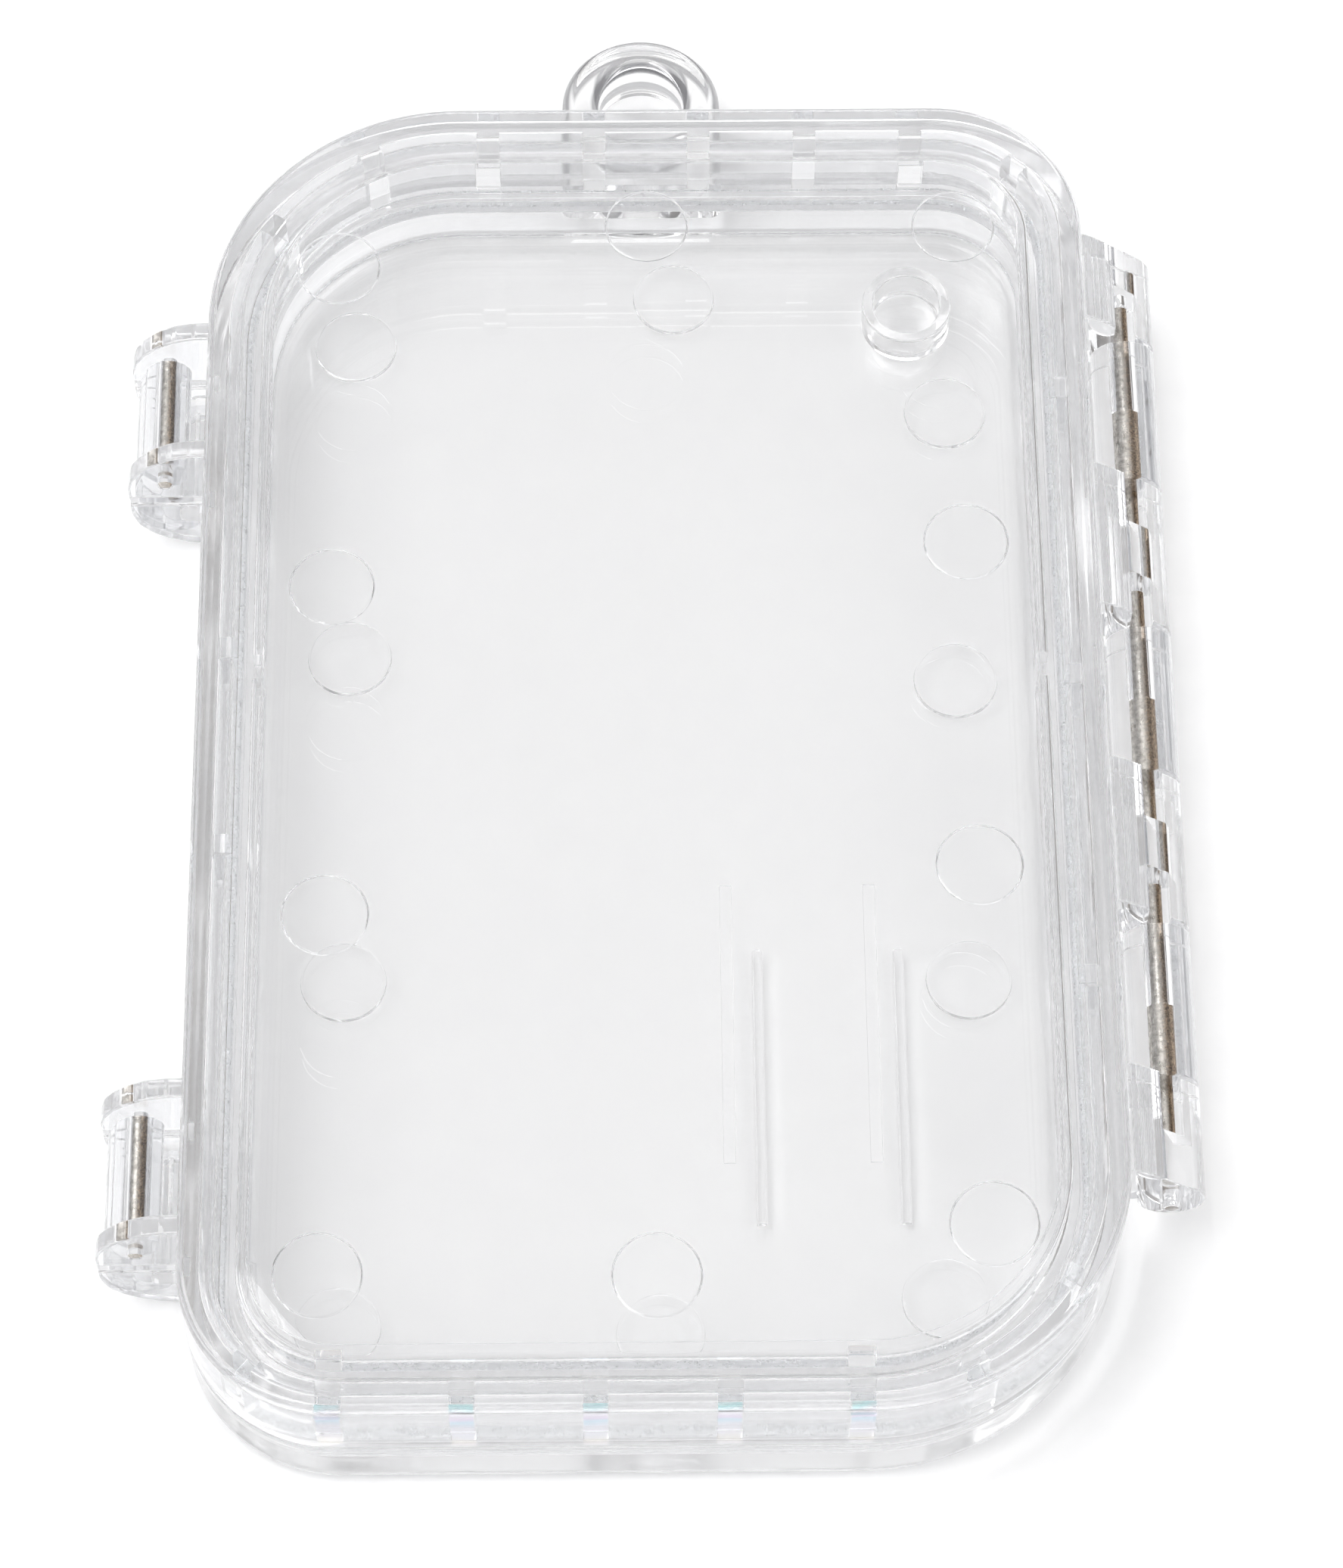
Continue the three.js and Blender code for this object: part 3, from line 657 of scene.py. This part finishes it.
# painted shade: the latches' rounded edges get a light grey base colour
LATCH = clear_plastic("clear_latch", (0.925, 0.927, 0.93), haze=(0.01, 0.03), edge=(0.74, 0.745, 0.76))
STEEL = steel("pin_steel")
SEAL = silicone("seal")


def edge_inset(x, y):
    """How far a point in plan lies inside the body's outline."""
    for sx, sy, radius in ((1, 1, R_TIGHT), (-1, 1, R_WIDE), (-1, -1, R_TIGHT), (1, -1, R_WIDE)):
        u, v = x * sx - (HALF_W - radius), y * sy - (HALF_L - radius)
        if u > 0 and v > 0:
            return radius - math.hypot(u, v)
    return min(HALF_W - abs(x), HALF_L - abs(y))


def dress(o, index, lo, hi, z0, z1, steep=False):
    """Gives the faces in a band round the body their own material; steep keeps it to the upright ones."""
    for p in o.data.polygons:
        c = p.center / MM
        i = edge_inset(c.x, c.y)
        if not (lo < i < hi and z0 < c.z < z1) or (steep and abs(p.normal.z) > 0.6):
            continue
        if steep or abs(p.normal.z) > 0.5 or abs(edge_inset(c.x + p.normal.x * 0.1, c.y + p.normal.y * 0.1) - i) > 0.07:
            p.material_index = index


# ---------------------------------------------------------------- pieces
rear = finish_mesh(build_rear(), "rear_shell_moulding")
for m in (SHELL, RIM_CLEAR, SIDES, SATIN, LOOP_CLEAR):
    rear.data.materials.append(m)
dress(rear, 1, -8.0, RIM + 0.05, 4.0, 16)
dress(rear, 2, -8.0, RIM + 0.6, 0.02, 16, steep=True)
dress(rear, 3, GROOVE_OUT - 0.1, GROOVE_IN + 0.1, GROOVE_FLOOR - 0.1, REAR_TOP - 0.05)
dress(rear, 3, -0.1, BACK_ROUND - 0.2, 0.02, REAR_TOP - 0.3, steep=True)
dress(rear, 3, -0.1, BACK_ROUND - 0.2, 0.02, BACK_ROUND)
for p in rear.data.polygons:
    if p.center.y > (HALF_L + 0.02) * MM:
        p.material_index = 4
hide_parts("rear_shell"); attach(rear, "rear")

cover = finish_mesh(build_cover(), "front_cover_moulding")
for m in (SHELL, RIM_CLEAR, SIDES, SATIN):
    cover.data.materials.append(m)
dress(cover, 1, -8.0, WINDOW_INSET + 0.1, COVER_BOTTOM - 1, 16)
dress(cover, 2, -8.0, RIM + 0.1, COVER_BOTTOM, THICK - 0.3, steep=True)
dress(cover, 2, -0.1, FRONT_ROUND, THICK - 0.72, THICK - 0.02)
dress(cover, 3, OUTER_WALL - 0.1, INNER_WALL_OUT + 0.1, COVER_BOTTOM + 0.05, THICK - SKIN + 0.05)
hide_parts("front_cover"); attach(cover, "cover")

for side, y in LATCH_Y.items():
    o = finish_mesh(build_latch(y), side + "_latch_moulding")
    o.data.materials.append(LATCH)
    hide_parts(side + "_latch"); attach(o, "latch_" + side)
    p = finish_mesh(rod(LATCH_X, LATCH_Z, LATCH_PIN_R, y - LUG_HALF + 0.05, y + LUG_HALF - 0.05, 0.12), side + "_latch_wire")
    p.data.materials.append(STEEL)
    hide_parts(side + "_latch_pin"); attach(p, "cover")

pin = finish_mesh(rod(HINGE_X, HINGE_Z, HINGE_PIN_R, *HINGE_PIN_Y, 0.15), "hinge_wire")
pin.data.materials.append(STEEL)
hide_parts("hinge_pin"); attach(pin, "rear")

seal = finish_mesh(swept_ring(rounded([(2.2, 5.15, 0.3, 4), (3.1, 5.15, 0.3, 4), (3.1, 7.2, 0.4, 5), (2.2, 7.2, 0.4, 5)])), "seal_ring")
seal.data.materials.append(SEAL)
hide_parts("gasket"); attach(seal, "rear")

# ---------------------------------------------------------------- stage, light and camera
bm = bmesh.new()
bmesh.ops.create_grid(bm, x_segments=8, y_segments=8, size=3.0)
for v in bm.verts:
    v.co.z = -0.00008
me = bpy.data.meshes.new("floor")
bm.to_mesh(me); bm.free()
floor = bpy.data.objects.new("floor", me)
bpy.context.collection.objects.link(floor)
floor.data.materials.append(floor_material())

scene = bpy.context.scene
world = bpy.data.worlds.new("studio")
scene.world = world
world.use_nodes = True
wt = world.node_tree
bg = wt.nodes["Background"]
tc = node(wt, "ShaderNodeTexCoord")
sep = node(wt, "ShaderNodeSeparateXYZ")
wt.links.new(tc.outputs["Generated"], sep.inputs[0])
wr = node(wt, "ShaderNodeValToRGB")
wr.color_ramp.elements[0].position, wr.color_ramp.elements[0].color = 0.0, (0.52, 0.525, 0.54, 1)
wr.color_ramp.elements[1].position, wr.color_ramp.elements[1].color = 0.6, (1.0, 1.0, 1.0, 1)
e = wr.color_ramp.elements.new(0.22); e.color = (0.74, 0.745, 0.755, 1)
wt.links.new(sep.outputs["Z"], wr.inputs["Fac"])
# a darker side of the studio to the right, low down, which gives the round wires their form
dot = node(wt, "ShaderNodeVectorMath", operation="DOT_PRODUCT")
dot.inputs[1].default_value = Vector((0.83, 0.42, 0.34)).normalized()
wt.links.new(tc.outputs["Generated"], dot.inputs[0])
shade = node(wt, "ShaderNodeMapRange", interpolation_type="SMOOTHSTEP")
shade.inputs["From Min"].default_value, shade.inputs["From Max"].default_value = 0.78, 0.94
shade.inputs["To Min"].default_value, shade.inputs["To Max"].default_value = 0.0, 1.0
wt.links.new(dot.outputs["Value"], shade.inputs["Value"])
dim = node(wt, "ShaderNodeMix", data_type="RGBA", blend_type="MULTIPLY")
dim_b = [i for i in dim.inputs if i.name == "B" and i.type == "RGBA"][0]
dim_a = [i for i in dim.inputs if i.name == "A" and i.type == "RGBA"][0]
dim_b.default_value = (0.40, 0.38, 0.365, 1)
wt.links.new(shade.outputs["Result"], dim.inputs["Factor"])
wt.links.new(wr.outputs["Color"], dim_a)
# the viewer's side is darker too, low down, which keeps the near end of the clear walls grey
front = node(wt, "ShaderNodeVectorMath", operation="DOT_PRODUCT")
front.inputs[1].default_value = Vector((0.35, -0.93, 0.10)).normalized()
wt.links.new(tc.outputs["Generated"], front.inputs[0])
front_shade = node(wt, "ShaderNodeMapRange", interpolation_type="SMOOTHSTEP")
front_shade.inputs["From Min"].default_value, front_shade.inputs["From Max"].default_value = 0.45, 0.92
front_shade.inputs["To Min"].default_value, front_shade.inputs["To Max"].default_value = 0.0, 1.0
wt.links.new(front.outputs["Value"], front_shade.inputs["Value"])
front_dim = node(wt, "ShaderNodeMix", data_type="RGBA", blend_type="MULTIPLY")
front_ins = {i.name: i for i in front_dim.inputs if i.type == "RGBA"}
front_ins["B"].default_value = (0.76, 0.76, 0.765, 1)
wt.links.new(front_shade.outputs["Result"], front_dim.inputs["Factor"])
wt.links.new([o for o in dim.outputs if o.type == "RGBA"][0], front_ins["A"])
wt.links.new([o for o in front_dim.outputs if o.type == "RGBA"][0], bg.inputs["Color"])
bg.inputs["Strength"].default_value = 0.90


def softbox(name, at, to, size, power, color=(1, 1, 1)):
    l = bpy.data.lights.new(name, "AREA")
    l.shape, l.size, l.size_y, l.energy, l.color = "RECTANGLE", size[0], size[1], power, color
    o = bpy.data.objects.new(name, l)
    o.location = at
    o.rotation_euler = (Vector(to) - Vector(at)).to_track_quat("-Z", "Y").to_euler()
    bpy.context.collection.objects.link(o)
    return o


softbox("key", (-0.62, 0.0, 1.3), (0, 0, 0), (0.9, 0.9), 10)
softbox("back", (0.3, 1.3, 0.9), (0, 0, 0), (1.0, 0.3), 3)
softbox("fill", (1.0, -0.5, 1.0), (0, 0, 0), (0.8, 0.8), 5)

EL, AZ, ROLL = math.radians(63.306), math.radians(-1.245), math.radians(0.693)
TARGET, DIST, F_PX = Vector((1.454, -4.795, 13.2)) * MM, 378.5 * MM, 6721.5
out = Vector((math.sin(AZ) * math.cos(EL), -math.cos(AZ) * math.cos(EL), math.sin(EL)))
right = Vector((math.cos(AZ), math.sin(AZ), 0))
up = out.cross(right)
right2 = math.cos(ROLL) * right + math.sin(ROLL) * up
up2 = -math.sin(ROLL) * right + math.cos(ROLL) * up
cam = bpy.data.objects.new("camera", bpy.data.cameras.new("camera"))
cam.data.sensor_width = cam.data.sensor_height = 36.0
cam.data.sensor_fit = "AUTO"
cam.data.lens = F_PX * 36.0 / 2072.0
cam.data.clip_start, cam.data.clip_end = 0.01, 20.0
rot = Matrix((right2, up2, out)).transposed()
cam.matrix_world = Matrix.Translation(TARGET + out * DIST) @ rot.to_4x4()
bpy.context.collection.objects.link(cam)
scene.camera = cam

scene.view_settings.view_transform = "Standard"
scene.view_settings.look = "None"
scene.cycles.max_bounces = 64
scene.cycles.transmission_bounces = 64
scene.cycles.glossy_bounces = 64
scene.cycles.diffuse_bounces = 3
scene.cycles.transparent_max_bounces = 8
scene.cycles.use_denoising = True
scene.cycles.blur_glossy = 0.0
